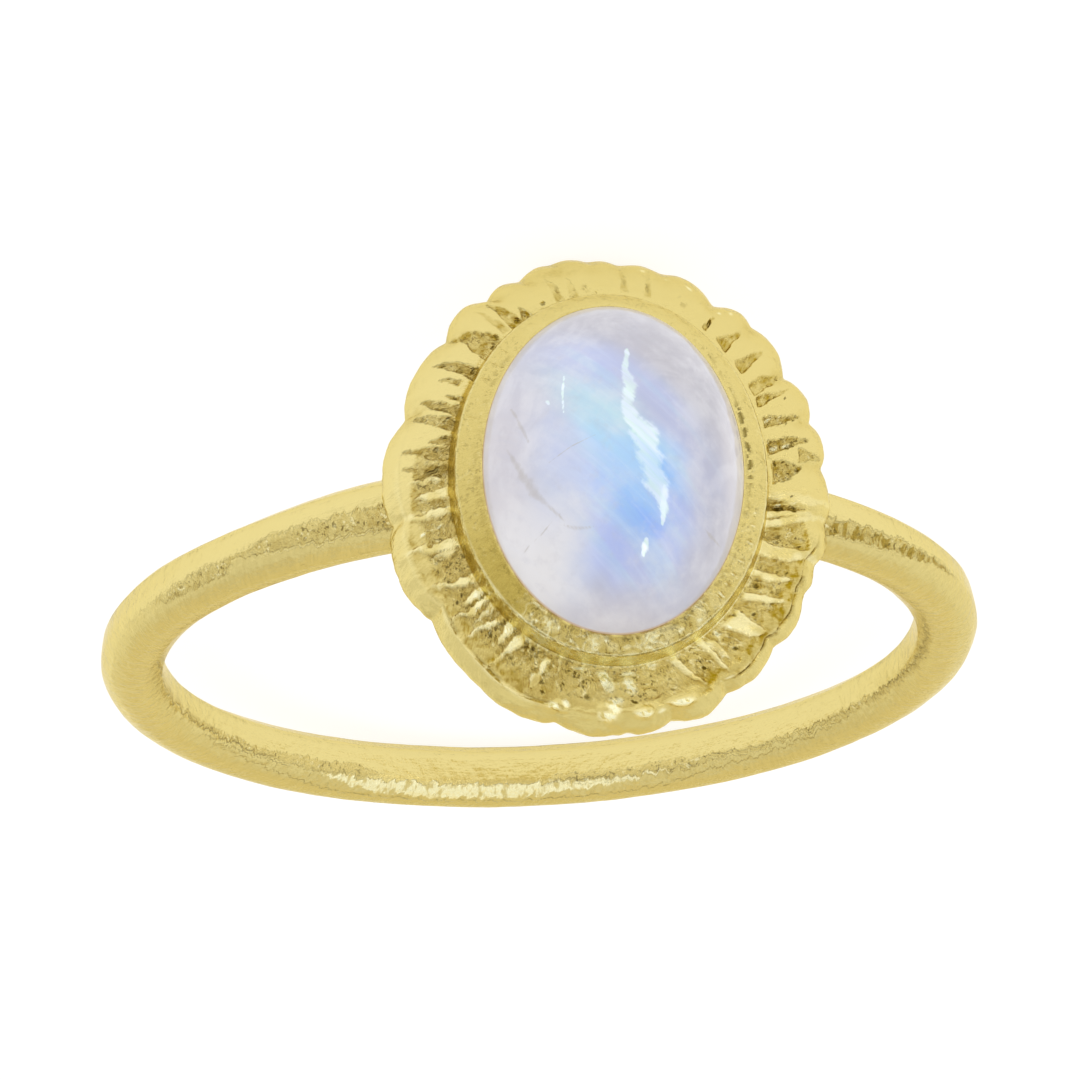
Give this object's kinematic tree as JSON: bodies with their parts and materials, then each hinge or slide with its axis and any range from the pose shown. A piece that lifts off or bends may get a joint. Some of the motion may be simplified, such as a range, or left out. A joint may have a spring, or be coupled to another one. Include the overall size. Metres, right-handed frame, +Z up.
{
  "type": "moonstone ring",
  "caption": "Finger ring with an oval moonstone cabochon in a bezel, on a fluted and scalloped oval frame, on a round wire band",
  "frame": {"origin": "on the floor, under the middle of the box around the ring as it lies on its side", "axes": "+Z up, near the finger hole's axis; -Y out through the stone's dome; +X across the finger hole"},
  "size_m": [0.02, 0.0229, 0.0107],
  "materials": {
    "gold": "polished cast yellow gold plate with file and hammer marks",
    "moonstone": "polished milky moonstone with a blue sheen"
  },
  "bodies": {
    "root": {"ring_mount": "gold", "moonstone": "moonstone"}
  },
  "joints": []
}
